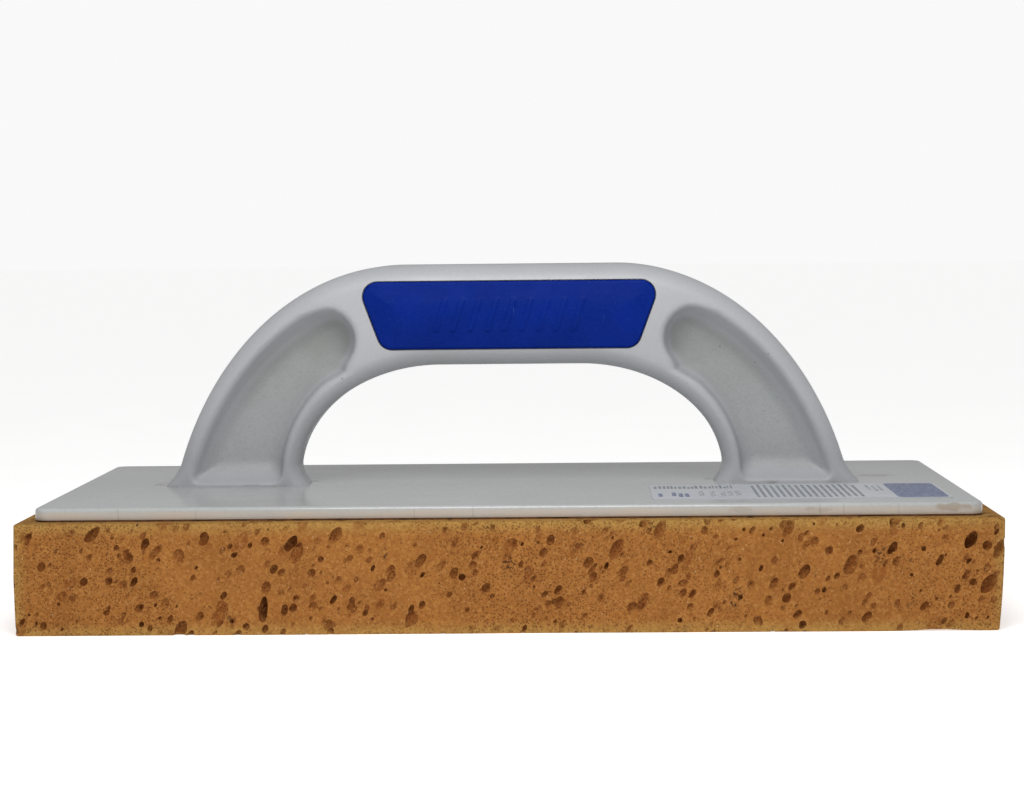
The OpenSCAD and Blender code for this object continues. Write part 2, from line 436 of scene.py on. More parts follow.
def pocket_distance(x, z, inset=0.0):
    """Distance to the outline of a leg's pocket, at a depth of inset below the leg's face."""
    outer = ellipse_distance(np.maximum(x - TOP_HALF, 0), z - SHOULDER_Z,
                             POCKET_SHOULDER_L, POCKET_SHOULDER_H)
    inner = ellipse_distance(np.maximum(x - UNDER_HALF, 0), z - BEND_Z, POCKET_BEND_L, POCKET_BEND_H)
    end_x, end_z = POCKET_END
    past_end = (x - end_x) * POCKET_END_WAY[0] + (z - end_z) * POCKET_END_WAY[1]
    end = np.hypot(x - end_x, z - end_z) - POCKET_END_R
    leg = smooth_min(np.maximum(-inner, past_end), end, POCKET_END_BLEND)
    leg = leg + POCKET_INNER_DRAFT * inset
    outside = round_max(outer, POCKET_LIP - z, POCKET_CORNER_R) + POCKET_OUTER_DRAFT * inset
    return round_max(outside, leg, POCKET_CORNER_R)


def handle_distance(x, y, z):
    """Distance to the handle, before its recesses and holes are cut."""
    x, depth = np.abs(x), np.abs(y)
    share = leg_share(x, z)
    face = face_depth(x, z)
    body = round_max(arch_distance(x, z), depth - face, mix(FOOT_R, GRIP_R, share))
    walls = pocket_distance(x, z, np.maximum(face - depth, 0))
    pocket = round_max(walls, WEB_T / 2 - depth, POCKET_FLOOR_R)
    mouth_r = mix(POCKET_LIP_R, POCKET_MOUTH_R, smooth_step(*MOUTH_CHANGE, z))
    body = round_max(body, -pocket, mouth_r)
    return np.maximum(body, -OVERRUN - z)


def inlay_corner(level):
    """Centre of an inlay's corner arc, at the given height."""
    lean = math.atan((INLAY_TOP - INLAY_BOTTOM) / 2 / INLAY_H)
    share = (level - INLAY_Z) / INLAY_H + 0.5
    return mix(INLAY_BOTTOM, INLAY_TOP, share) / 2 - INLAY_R / math.cos(lean), level


INLAY_LOW = inlay_corner(INLAY_Z - INLAY_H / 2 + INLAY_R)
INLAY_HIGH = inlay_corner(INLAY_Z + INLAY_H / 2 - INLAY_R)
INLAY_LEAN = math.atan2(INLAY_HIGH[0] - INLAY_LOW[0], INLAY_HIGH[1] - INLAY_LOW[1])


def inlay_outline(grow):
    """Outline of an inlay in x and z, made larger all round by grow."""
    r = INLAY_R + grow
    tilt = math.degrees(INLAY_LEAN)
    (low_x, low_z), (high_x, high_z) = INLAY_LOW, INLAY_HIGH
    return (arc(low_x, low_z, r, -90, -tilt, 10) + arc(high_x, high_z, r, -tilt, 90, 12)
            + arc(-high_x, high_z, r, 90, 180 + tilt, 12)
            + arc(-low_x, low_z, r, 180 + tilt, 270, 10))


def inlay_side(x, z):
    """Distance to the inlay's outline; x counts outwards from the middle."""
    (low_x, low_z), (high_x, high_z) = INLAY_LOW, INLAY_HIGH
    along = math.hypot(high_x - low_x, high_z - low_z)
    step_x, step_z = (high_x - low_x) / along, (high_z - low_z) / along
    way = np.clip((x - low_x) * step_x + (z - low_z) * step_z, 0, along)
    to_side = np.hypot(x - low_x - way * step_x, z - low_z - way * step_z)
    to_top = np.hypot(np.maximum(x - high_x, 0), z - high_z)
    to_bottom = np.hypot(np.maximum(x - low_x, 0), z - low_z)
    past_side = (x - low_x) * step_z - (z - low_z) * step_x
    outside = (past_side > 0) | (z > high_z) | (z < low_z)
    nearest = np.minimum(to_side, np.minimum(to_top, to_bottom))
    return np.where(outside, nearest, -nearest) - INLAY_R


def inlay_distance(x, y, z):
    """Distance to the front inlay, with its raised ribs and the pegs behind it."""
    depth = -y
    across = x - (z - INLAY_Z) * RIB_LEAN
    nearest = np.clip(np.round(across / RIB_PITCH), -(RIB_COUNT // 2), RIB_COUNT // 2) * RIB_PITCH
    half_l = RIB_L / 2 - RIB_W / 2
    rib = np.hypot(across - nearest, np.maximum(np.abs(z - INLAY_Z) - half_l, 0)) - RIB_W / 2
    relief = RIB_H * smooth_step(RIB_FLANK, -RIB_FLANK, rib)
    side = inlay_side(np.abs(x), z)
    swell = INLAY_SWELL * smooth_step(0, -INLAY_SWELL_REACH, side)
    front = depth - face_depth(np.abs(x), z) - relief - swell + INLAY_SUNK
    slab = round_max(side, front, INLAY_EDGE_R)
    slab = np.maximum(slab, GRIP_W / 2 - INLAY_T - depth)
    peg_x = np.clip(np.round(x / PEG_PLACES[2]), -1, 1) * PEG_PLACES[2]
    peg = np.hypot(x - peg_x, z - INLAY_Z) - PEG_R
    peg = np.maximum(peg, np.abs(depth - (GRIP_W / 2 - INLAY_T - PEG_L / 2)) - PEG_L / 2)
    return np.minimum(slab, peg)


# ---------------------------------------------------------------- materials

def paint(red, green, blue):
    """Linear colour of an sRGB colour given from 0 to 255."""
    def linear(value):
        value = value / 255
        return value / 12.92 if value <= 0.04045 else ((value + 0.055) / 1.055) ** 2.4
    return (linear(red), linear(green), linear(blue), 1.0)


class Finish:
    """A material's node tree, with short calls for the nodes that the finishes share."""

    def __init__(self, name):
        self.material = bpy.data.materials.new(name)
        self.material.use_nodes = True
        self.tree = self.material.node_tree
        self.shader = self.tree.nodes["Principled BSDF"]
        self.place = self.add("TexCoord", {}).outputs["Object"]
        self.axes = self.parts(self.place)

    def feed(self, socket, value):
        """Links another socket to this one, or gives it a plain value."""
        if isinstance(value, bpy.types.NodeSocket):
            self.tree.links.new(value, socket)
        else:
            socket.default_value = value

    def add(self, kind, inputs, **settings):
        """Adds a node. Inputs maps a socket's name or number to a value or another socket."""
        made = self.tree.nodes.new("ShaderNode" + kind)
        for name, value in settings.items():
            setattr(made, name, value)
        for name, value in inputs.items():
            self.feed(made.inputs[name], value)
        return made

    def noise(self, size_mm, detail=3.0, rough=0.5, stretch=(1, 1, 1), shift=0.0):
        """Noise from 0 to 1, with lumps of about the given size."""
        scale = [s / (size_mm * MM) for s in stretch]
        place = self.add("Mapping", {"Vector": self.place, "Scale": scale,
                                     "Location": (shift, shift, shift)}).outputs[0]
        return self.add("TexNoise", {"Vector": place, "Scale": 1.0, "Detail": detail,
                                     "Roughness": rough}).outputs["Fac"]

    def cells(self, size_mm):
        """A Voronoi node with cells of about the given size."""
        return self.add("TexVoronoi", {"Vector": self.place, "Scale": 1 / (size_mm * MM)})

    def parts(self, vector):
        """The X, Y and Z sockets of a vector or a colour."""
        return self.add("SeparateXYZ", {"Vector": vector}).outputs

    def math(self, operation, a, b=0.0):
        """One step of arithmetic."""
        return self.add("Math", {0: a, 1: b}, operation=operation).outputs[0]

    def times(self, a, b):
        """The product of two values."""
        return self.math("MULTIPLY", a, b)

    def band(self, value, low, high, out_low=0.0, out_high=1.0):
        """Maps low..high to out_low..out_high, smoothly, and holds the ends."""
        return self.add("MapRange", {"Value": value, "From Min": low, "From Max": high,
                                     "To Min": out_low, "To Max": out_high},
                        interpolation_type="SMOOTHSTEP").outputs[0]

    def blend(self, share, a, b):
        """Mixes two colours, which are the Mix node's sockets 6 and 7 and its output 2."""
        return self.add("Mix", {0: share, 6: a, 7: b}, data_type="RGBA").outputs[2]

    def bump(self, height, depth_mm, strength, under=None):
        """A relief in the shading only, laid over another one if it is given."""
        inputs = {"Height": height, "Distance": depth_mm * MM, "Strength": strength}
        if under:
            inputs["Normal"] = under
        return self.add("Bump", inputs).outputs[0]

    def finish(self, colour, roughness, normal=None, **plain):
        """Connects the shader. Plain values are set on the shader's own sockets."""
        for name, value in (("Base Color", colour), ("Roughness", roughness), ("Normal", normal)):
            if value is not None:
                self.feed(self.shader.inputs[name], value)
        for name, value in plain.items():
            self.shader.inputs[name.replace("_", " ")].default_value = value
        return self.material


def blotch(f, centre, reach):
    """A soft mark with a ragged edge, round a point, with its reach in x, y and z."""
    total = f.band(f.noise(2.6, 5), 0.2, 0.8, -0.8, 0.9)
    for axis, middle, far in zip("XYZ", centre, reach):
        away = f.math("DIVIDE", f.math("SUBTRACT", f.axes[axis], middle * MM), far * MM)
        total = f.math("ADD", total, f.times(away, away))
    return f.band(total, 1.0, 0.1)


def mould_marks(f):
    """Hairlines across the front and rear edges of the plate, left by the mould's inserts."""
    total = None
    for place in MOULD_MARKS:
        far = f.math("ABSOLUTE", f.math("SUBTRACT", f.axes["X"], place * MM))
        line = f.band(far, 0.28 * MM, 0.08 * MM)
        total = line if total is None else f.math("ADD", total, line)
    side = f.math("ABSOLUTE", f.axes["Y"])
    on_edge = f.band(side, (PLATE_HIGH[1] - 0.6) * MM, (PLATE_HIGH[1] - 0.2) * MM)
    return f.times(total, on_edge)


def pore_share(f, size_mm, low, high, shift):
    """How far from the middle of the nearest pore to its rim, for ovals of mixed sizes that
    lean as the foam rose; low and high are their smallest and largest share of the spacing."""
    lean = f.add("Mapping", {"Vector": f.place, "Rotation": (0, math.radians(30), 0),
                             "Scale": (size_mm * MM, size_mm * MM, size_mm * MM * 1.6)},
                 vector_type="TEXTURE").outputs[0]
    warp = f.add("TexNoise", {"Vector": lean, "Scale": 2.5, "Detail": 2.0}).outputs["Color"]
    moved = f.add("VectorMath", {0: warp, 1: (0.30, 0.30, 0.30), 2: lean},
                  operation="MULTIPLY_ADD").outputs[0]
    moved = f.add("VectorMath", {0: moved, 1: (shift, shift, shift)}, operation="ADD").outputs[0]
    made = f.add("TexVoronoi", {"Vector": moved, "Scale": 1.0})
    chance = f.parts(made.outputs["Color"])["X"]
    reach = f.band(f.times(chance, chance), 0, 1, low, high)
    return f.math("DIVIDE", made.outputs["Distance"], reach)


def middle_of_three(f, a, b, c):
    """The middle one of three numbers."""
    low = f.math("MINIMUM", a, b)
    high = f.math("MAXIMUM", a, b)
    return f.math("MAXIMUM", low, f.math("MINIMUM", high, c))


# Grout stains and scuffs on the plate: middle, reach, strength and colour
PLATE_MARKS = (((113.0, 13.0, DECK), (8.0, 5.5, 2.0), 0.62, (112, 102, 82)),
               ((-61.5, 8.0, DECK), (1.8, 2.2, 2.0), 0.75, (104, 98, 82)),
               ((-109.0, 2.0, DECK), (2.4, 7.0, 2.0), 0.45, (112, 108, 98)),
               ((61.0, 6.0, DECK), (1.6, 5.0, 2.0), 0.4, (116, 112, 102)),
               ((126.0, -65.0, DECK - 1.6), (6.0, 2.0, 1.4), 0.55, (148, 128, 104)),
               ((88.0, -65.0, DECK - 2.0), (5.0, 2.0, 1.0), 0.35, (150, 134, 114)),
               ((66.0, -65.0, DECK - 1.8), (4.0, 2.0, 1.0), 0.3, (152, 136, 116)))
# Places in x of the mould's hairlines
MOULD_MARKS = (-110.5, -88.3, -26.1, -9.4, 88.7, 95.4, 110.9)


def handle_finish():
    """Light grey moulded plastic with a fine grain, painted shade in the pockets, a little dirt at the
    feet and a few specks.
    """
    f = Finish("handle_plastic")
    cloud = f.noise(38, 4)
    colour = f.blend(f.band(cloud, 0.35, 0.65), paint(173, 174, 178), paint(168, 169, 172))
    mottle = f.noise(1.1, 3)
    colour = f.blend(f.band(mottle, 0.35, 0.7, 0, 0.10), colour, paint(140, 141, 144))
    # Painted shade in the pockets: a greenish grey, strongest on their floors and deepening towards
    # their upper ends, with darker flecks
    hollow = f.band(f.math("ABSOLUTE", f.axes["Y"]), 6.0 * MM, 3.3 * MM)
    upper_pocket_shade = f.band(f.axes["Z"], (DECK + 4) * MM, (DECK + 46) * MM, 0.35, 1.0)
    upper_pocket_shade = f.times(upper_pocket_shade, f.band(f.noise(9, 4), 0.3, 0.7, 0.8, 1.0))
    colour = f.blend(f.times(hollow, upper_pocket_shade), colour, paint(143, 147, 144))
    freckle = f.times(hollow, f.band(f.noise(0.55, 2, 0.6), 0.45, 0.75, 0, 0.25))
    colour = f.blend(freckle, colour, paint(112, 114, 112))
    near_deck = f.band(f.axes["Z"], (DECK + 1.2) * MM, DECK * MM)
    dirt = f.times(near_deck, f.band(f.noise(6, 5), 0.52, 0.68))
    colour = f.blend(f.times(dirt, 0.4), colour, paint(112, 106, 98))
    spot = f.cells(7.5).outputs["Distance"]
    speck = f.times(f.band(spot, 0.055, 0.03), f.band(f.noise(30, 2), 0.5, 0.62))
    colour = f.blend(f.times(speck, 0.6), colour, paint(98, 98, 104))
    scrape = blotch(f, (-102.0, -4.0, DECK + 11.0), (1.6, 6.0, 2.2))
    colour = f.blend(f.times(scrape, 0.5), colour, paint(104, 104, 98))
    rough = f.band(f.noise(9, 4), 0.3, 0.7, 0.42, 0.52)
    grain = f.bump(f.noise(0.6, 2, 0.6), 0.04, 0.6)
    return f.finish(colour, rough, grain)


def plate_finish():
    """Light grey moulded plastic, smoother than the handle, with scuffs, stains, mould marks and
    painted warm bounce light on its upright edge.
    """
    f = Finish("plate_plastic")
    colour = f.blend(f.band(f.noise(45, 4), 0.35, 0.65), paint(180, 182, 181), paint(175, 177, 176))
    colour = f.blend(f.band(f.noise(1.3, 3), 0.4, 0.75, 0, 0.16), colour, paint(134, 136, 136))
    # Painted warm bounce light from the sponge on the lower part of the upright edge, in uneven
    # streaks
    edge = f.band(f.axes["Z"], (DECK - 0.9) * MM, (DECK - 1.6) * MM)
    warm_bounce = f.band(f.noise(22, 5, stretch=(1, 1, 4)), 0.3, 0.7, 0.45, 0.9)
    colour = f.blend(f.times(edge, warm_bounce), colour, paint(190, 177, 162))
    for centre, reach, amount, shade_of in PLATE_MARKS:
        mask = f.times(blotch(f, centre, reach), amount)
        colour = f.blend(mask, colour, paint(*shade_of))
    colour = f.blend(f.times(mould_marks(f), 0.22), colour, paint(110, 100, 90))
    scuff = f.band(f.noise(3.2, 6, 0.7, stretch=(0.16, 1, 1)), 0.66, 0.72)
    colour = f.blend(f.times(scuff, 0.05), colour, paint(120, 116, 110))
    rough = f.band(f.noise(16, 5), 0.3, 0.7, 0.17, 0.20)
    ripple = f.bump(f.noise(45, 1), 0.05, 0.25)
    grain = f.bump(f.noise(0.8, 3, 0.6), 0.012, 0.5, under=ripple)
    return f.finish(colour, rough, grain)


def inlay_finish():
    """Blue soft-touch plastic, satin, with light scratches."""
    f = Finish("soft_grip")
    colour = f.blend(f.band(f.noise(14, 4), 0.3, 0.7), paint(1, 33, 123), paint(0, 30, 113))
    scratch = f.band(f.noise(1.6, 4, 0.6, stretch=(1, 1, 0.07)), 0.665, 0.72)
    few = f.band(f.noise(12, 2, shift=3.0), 0.5, 0.62)
    scratch = f.times(scratch, few)
    colour = f.blend(f.times(scratch, 0.45), colour, paint(66, 86, 170))
    colour = f.blend(f.band(f.noise(0.5, 2), 0.45, 0.8, 0, 0.25), colour, paint(30, 58, 146))
    rough = f.band(f.noise(5, 5), 0.3, 0.7, 0.44, 0.55)
    grain = f.bump(f.noise(0.45, 2, 0.6), 0.03, 0.5)
    return f.finish(colour, rough, grain, Specular_IOR_Level=0.06)


def sponge_finish():
    """Cellular foam: fine cells, paler at the pad's edges, with painted shade down in the pores and a
    few painted glints.
    """
    f = Finish("sponge")
    x, y, z = [f.axes[axis] for axis in "XYZ"]
    colour = f.blend(f.band(f.noise(17, 4), 0.35, 0.65), paint(153, 100, 48), paint(144, 93, 44))
    # Paler and yellower near the edges of each face, where the pad has dried and bleached
    lowest = f.math("MINIMUM", z, f.math("SUBTRACT", SPONGE_HIGH[2] * MM, z))
    ends = f.math("SUBTRACT", SPONGE_HIGH[0] * MM, f.math("ABSOLUTE", x))
    sides = f.math("SUBTRACT", SPONGE_HIGH[1] * MM, f.math("ABSOLUTE", y))
    from_edge = middle_of_three(f, lowest, ends, sides)
    pale = f.band(from_edge, 4.5 * MM, 0.2 * MM, 0, 0.85)
    rim = f.band(z, (SPONGE_HIGH[2] - 0.9) * MM, (SPONGE_HIGH[2] - 0.3) * MM, 0, 0.8)
    pale = f.math("MAXIMUM", pale, rim)
    pale = f.times(pale, f.band(f.noise(6, 4), 0.25, 0.65, 0.6, 1.0))
    colour = f.blend(pale, colour, paint(164, 128, 68))
    # Small pores, and the ghosts of pores that lie just under the surface
    small = pore_share(f, 3.1, 0.05, 0.34, 0.0)
    ghost = pore_share(f, 7.0, 0.10, 0.36, 7.0)
    colour = f.blend(f.band(ghost, 1.0, 0.75, 0, 0.45), colour, paint(122, 64, 26))
    colour = f.blend(f.band(small, 1.0, 0.65, 0, 0.66), colour, paint(108, 56, 22))
    # Painted shade down in the larger pores, darker the deeper they go and darkest under their upper
    # rims
    ragged = f.band(f.noise(0.9, 4, 0.7), 0.3, 0.7, -0.10, 0.10)
    pit = f.add("Attribute", {}, attribute_name="pit").outputs["Fac"]
    pit = f.math("ADD", pit, ragged)
    colour = f.blend(f.band(pit, 0.02, 0.28, 0, 0.62), colour, paint(122, 66, 28))
    colour = f.blend(f.band(pit, 0.40, 1.2, 0, 0.85), colour, paint(78, 36, 14))
    # Painted shadow on the pore walls that face downwards
    facing = f.parts(f.add("NewGeometry", {}).outputs["Normal"])["Z"]
    under = f.times(f.band(facing, -0.05, -0.7), f.band(pit, 0.04, 0.25))
    under = f.times(under, f.band(f.noise(0.8, 3, 0.7), 0.35, 0.6, 0.4, 1.0))
    colour = f.blend(f.times(under, 0.5), colour, paint(66, 30, 12))
    # Fine cells, each a little paler or darker than the next, with a brown opening in some
    cell = f.cells(0.62)
    chance = f.parts(cell.outputs["Color"])
    colour = f.blend(f.band(chance["X"], 0.5, 0.0, 0, 0.24), colour, paint(96, 50, 20))
    colour = f.blend(f.band(chance["X"], 0.6, 1.0, 0, 0.20), colour, paint(198, 150, 88))
    opening = f.times(f.band(cell.outputs["Distance"], 0.48, 0.20),
                      f.band(chance["Y"], 0.25, 0.75))
    colour = f.blend(f.times(opening, 0.62), colour, paint(74, 37, 14))
    # Painted glints: a few tiny pale specks
    glint = f.times(f.band(chance["Z"], 0.985, 0.995), f.band(cell.outputs["Distance"], 0.4, 0.2))
    colour = f.blend(f.times(glint, 0.5), colour, paint(220, 190, 148))
    # Clusters of nearly black specks, where torn cells lie open
    cluster = f.band(pore_share(f, 7.5, 0.08, 0.36, 3.0), 1.1, 0.5)
    speck = f.band(f.noise(0.8, 2, 0.6, shift=2.0), 0.50, 0.62)
    colour = f.blend(f.times(f.times(cluster, speck), 0.85), colour, paint(54, 36, 24))
    dents = f.math("ADD", f.band(small, 1.0, 0.3, 0, -0.8), f.band(ghost, 1.0, 0.3, 0, -0.8))
    hollow = f.bump(dents, 0.8, 0.8)
    cells = f.bump(f.times(opening, -1.0), 0.2, 0.6, under=hollow)
    grain = f.bump(f.noise(0.45, 2, 0.7), 0.12, 0.5, under=cells)
    return f.finish(colour, 0.92, grain, Specular_IOR_Level=0.12)


def glue_finish():
    """Dried contact adhesive, brown and lumpy, with dirt."""
    f = Finish("glue")
    colour = f.blend(f.band(f.noise(2.4, 5), 0.35, 0.65), paint(112, 70, 34), paint(70, 44, 24))
    rough = f.band(f.noise(1.5, 3), 0.3, 0.7, 0.5, 0.8)
    return f.finish(colour, rough, f.bump(f.noise(0.6, 4), 0.1, 0.7))


def steel_finish():
    """Zinc-plated steel."""
    f = Finish("screw_steel")
    colour = f.blend(f.band(f.noise(1.2, 4), 0.3, 0.7), paint(186, 188, 194), paint(160, 163, 170))
    rough = f.band(f.noise(0.5, 4), 0.3, 0.7, 0.28, 0.45)
    return f.finish(colour, rough, f.bump(f.noise(0.2, 3), 0.01, 0.5), Metallic=1.0)


def film_finish():
    """The label's pale film."""
    f = Finish("label_film")
    colour = f.blend(f.band(f.noise(18, 4), 0.3, 0.7), paint(192, 195, 200), paint(186, 189, 194))
    rough = f.band(f.noise(9, 4), 0.3, 0.7, 0.30, 0.42)
    return f.finish(colour, rough, f.bump(f.noise(2.5, 3), 0.02, 0.3))


def ink_finish(name, red, green, blue):
    """Printing ink, worn in places."""
    f = Finish(name)
    worn = f.band(f.noise(0.9, 5, 0.7), 0.42, 0.66, 0, 0.6)
    colour = f.blend(worn, paint(red, green, blue), paint(186, 189, 195))
    return f.finish(colour, 0.42, f.bump(f.noise(1.5, 3), 0.01, 0.3))


# ---------------------------------------------------------------- pieces

def make_handle(material):
    """The arched handle, with recesses for the inlays and holes for the screws."""
    low = (HANDLE_LOW[0], -GRIP_W / 2, -OVERRUN)
    high = (HANDLE_HIGH[0], GRIP_W / 2, HANDLE_H)
    points, quads = surface_net(handle_distance, low, high, HANDLE_STEP)
    points[:, 2] += DECK
    piece = link_piece("handle_shell", mesh_from("handle_shell", points, quads), material,
                       "handle_body")
    floor = GRIP_W / 2 - INLAY_T
    outline = [(x, z + DECK) for x, z in inlay_outline(INLAY_GAP)]
    below = round_rectangle(PLATE_HIGH[0] * 2, PLATE_HIGH[1] * 2, PLATE_CORNER_R)
    carve(piece, [prism(below, PLATE_LOW[2], DECK), prism(outline, floor, GRIP_W, "y"),
                  prism(outline, -GRIP_W, -floor, "y")])
    holes = [prism(circle(x, 0, PILOT_R, 20), DECK - CLEAR, DECK + PILOT_L - CLEAR)
             for x in SCREW_PLACES]
    for x in PEG_PLACES:
        hole = circle(x, INLAY_Z + DECK, PEG_R + PEG_GAP, 24)
        holes.append(prism(hole, floor - PEG_L - PEG_GAP, floor + CLEAR, "y"))
        holes.append(prism(hole, -floor - CLEAR, -floor + PEG_L + PEG_GAP, "y"))
    carve(piece, holes)
    spigots = [prism(circle(foot * SPIGOT_X, 0, SPIGOT_R), DECK - SPIGOT_L, DECK + 0.5)
               for foot in (-1, 1)]
    carve(piece, spigots, "UNION")
    shade(piece.data, sharp_degrees=42)


def make_inlays(material):
    """The two soft inlays, one the mirror of the other."""
    half = INLAY_TOP / 2
    low = (-half, -GRIP_W / 2 - INLAY_PROUD, INLAY_Z - INLAY_H / 2)
    high = (half, -GRIP_W / 2 + INLAY_T + PEG_L, INLAY_Z + INLAY_H / 2)
    points, quads = surface_net(inlay_distance, low, high, INLAY_STEP)
    points[:, 2] += DECK
    for side, name in ((1, "grip_inlay_front"), (-1, "grip_inlay_rear")):
        placed = points * (1, side, 1)
        faces = quads if side == 1 else quads[:, ::-1]
        mesh = mesh_from(name, placed, faces)
        shade(mesh, sharp_degrees=60)
        link_piece(name.replace("grip_", "soft_"), mesh, material, name)


def make_plate(material):
    """The base plate, with round edges and the holes that the handle's screws pass."""
    length, width = PLATE_HIGH[0] - PLATE_LOW[0], PLATE_HIGH[1] - PLATE_LOW[1]
    low_r, top_r = PLATE_BOTTOM_R, PLATE_TOP_R
    # Each level is an inset and a height
    levels = [(low_r, PLATE_LOW[2])]
    levels += [(low_r - low_r * math.sin(a), PLATE_LOW[2] + low_r - low_r * math.cos(a))
               for a in np.linspace(0.3, math.pi / 2, 4)]
    levels += [(top_r - top_r * math.cos(a), DECK - top_r + top_r * math.sin(a))
               for a in np.linspace(0, math.pi / 2, 9)]
    points, faces = [], []
    for inset, z in levels:
        outline = round_rectangle(length - 2 * inset, width - 2 * inset, PLATE_CORNER_R - inset, 13)
        points += [(x, y, z) for x, y in outline]
    count = len(points) // len(levels)
    for row in range(len(levels) - 1):
        for i in range(count):
            j = (i + 1) % count
            faces.append((row * count + i, row * count + j,
                          (row + 1) * count + j, (row + 1) * count + i))
    faces += [tuple(range(count))[::-1],
              tuple(range((len(levels) - 1) * count, len(levels) * count))]
    mesh = mesh_from("plate", points, faces)
    piece = link_piece("plate_moulding", mesh, material, "base_plate")
    holes = [prism(circle(foot * SPIGOT_X, 0, SPIGOT_R + PEG_GAP),
                   DECK - SPIGOT_L - PEG_GAP, DECK + CLEAR) for foot in (-1, 1)]
    holes += [prism(circle(x, 0, SCREW_HOLE_R, 32), PLATE_LOW[2] - CLEAR, DECK + CLEAR)
              for x in SCREW_PLACES]
    carve(piece, holes)
    shade(piece.data, sharp_degrees=30)


def pore_solid(rng, centre, short, long, segments, rings):
    """A lumpy ellipsoid whose long axis leans as the foam rose."""
    lean = np.array([0.5, 0.05, 0.87]) + rng.normal(0, 0.16, 3)
    lean /= np.linalg.norm(lean)
    side = np.cross(lean, [0, 1, 0])
    side /= np.linalg.norm(side)
    other = np.cross(lean, side)
    phases = rng.uniform(0, 2 * math.pi, 4)
    flat = rng.uniform(0.85, 1.15)
    points = [centre - lean * long]
    for row in range(1, rings):
        polar = math.pi * row / rings
        for i in range(segments):
            turn = 2 * math.pi * i / segments
            lump = 1 + 0.10 * math.cos(2 * turn + phases[0])
            lump += 0.07 * math.cos(3 * turn + phases[1] + polar)
            lump += 0.06 * math.cos(3 * polar + phases[2])
            reach = short * lump * math.sin(polar)
            points.append(centre - lean * long * math.cos(polar)
                          + side * reach * flat * math.cos(turn) + other * reach * math.sin(turn))
    points.append(centre + lean * long)
    faces = []
    last = len(points) - 1
    for i in range(segments):
        j = (i + 1) % segments
        faces.append((0, 1 + j, 1 + i))
        for row in range(rings - 2):
            a = 1 + row * segments
            faces.append((a + i, a + j, a + segments + j, a + segments + i))
        a = 1 + (rings - 2) * segments
        faces.append((a + i, a + j, last))
    return points, faces


def pore_groups(rng):
    """Pores all over the pad's outside, sorted into groups whose members don't touch."""
    size = SPONGE_HIGH - SPONGE_LOW
    groups = [([], [], []) for _ in range(5)]
    for density, shorts, stretches, segments, rings in PORE_KINDS:
        for axis in range(3):
            for end in (0, 1):
                a, b = [i for i in range(3) if i != axis]
                share = 1.0 if axis < 2 else (RIM_SHARE if end else SOLE_SHARE)
                for _ in range(int(density * share * size[a] * size[b] / 10000)):
                    centre = SPONGE_LOW + rng.uniform(0, 1, 3) * size
                    short = rng.uniform(*shorts)
                    long = short * rng.uniform(*stretches)
                    sunk = rng.uniform(-0.55, 0.6) * short
                    centre[axis] = SPONGE_HIGH[axis] - sunk if end else SPONGE_LOW[axis] + sunk
                    solid = pore_solid(rng, centre, short, long, segments, rings)
                    if not under_plate(centre, long):
                        add_to_group(groups, centre, long, solid)
    return [solids for _, _, solids in groups if solids]


def under_plate(centre, reach):
    """True where a pore in the top face would be hidden by the plate."""
    return (centre[2] > SPONGE_HIGH[2] - 2 and abs(centre[0]) < PLATE_HIGH[0] - reach - 1
            and abs(centre[1]) < PLATE_HIGH[1] - reach - 1)


def add_to_group(groups, centre, reach, solid):
    """Puts a pore into the first group in which it touches no other, or leaves it out."""
    for centres, reaches, solids in groups:
        if centres:
            gaps = np.linalg.norm(np.array(centres) - centre, axis=1)
            if (gaps < 1.15 * (np.array(reaches) + reach)).any():
                continue
        centres.append(centre)
        reaches.append(reach)
        solids.append(solid)
        return


def pad_grid():
    """The pad before its pores are cut: a box of quads with soft edges."""
    edge = PAD_EDGE_R
    ticks = []
    for low, high in zip(SPONGE_LOW, SPONGE_HIGH):
        inner = np.linspace(low + edge, high - edge, int((high - low) / PAD_CELL) + 1)
        near = edge * 0.45
        ticks.append(np.concatenate([[low, low + near], inner, [high - near, high]]))
    bm = bmesh.new()
    for axis in range(3):
        a, b = [i for i in range(3) if i != axis]
        for level in (SPONGE_LOW[axis], SPONGE_HIGH[axis]):
            rows = []
            for s in ticks[a]:
                row = []
                for t in ticks[b]:
                    point = np.zeros(3)
                    point[axis], point[a], point[b] = level, s, t
                    inside = np.clip(point, SPONGE_LOW + edge, SPONGE_HIGH - edge)
                    out = point - inside
                    point = inside + edge * out / np.linalg.norm(out)
                    row.append(bm.verts.new(point * MM))
                rows.append(row)
            for i in range(len(rows) - 1):
                for j in range(len(rows[0]) - 1):
                    bm.faces.new((rows[i][j], rows[i + 1][j], rows[i + 1][j + 1], rows[i][j + 1]))
    bmesh.ops.remove_doubles(bm, verts=bm.verts, dist=0.02 * MM)
    bmesh.ops.recalc_face_normals(bm, faces=bm.faces)
    mesh = bpy.data.meshes.new("sponge")
    bm.to_mesh(mesh)
    bm.free()
    return mesh


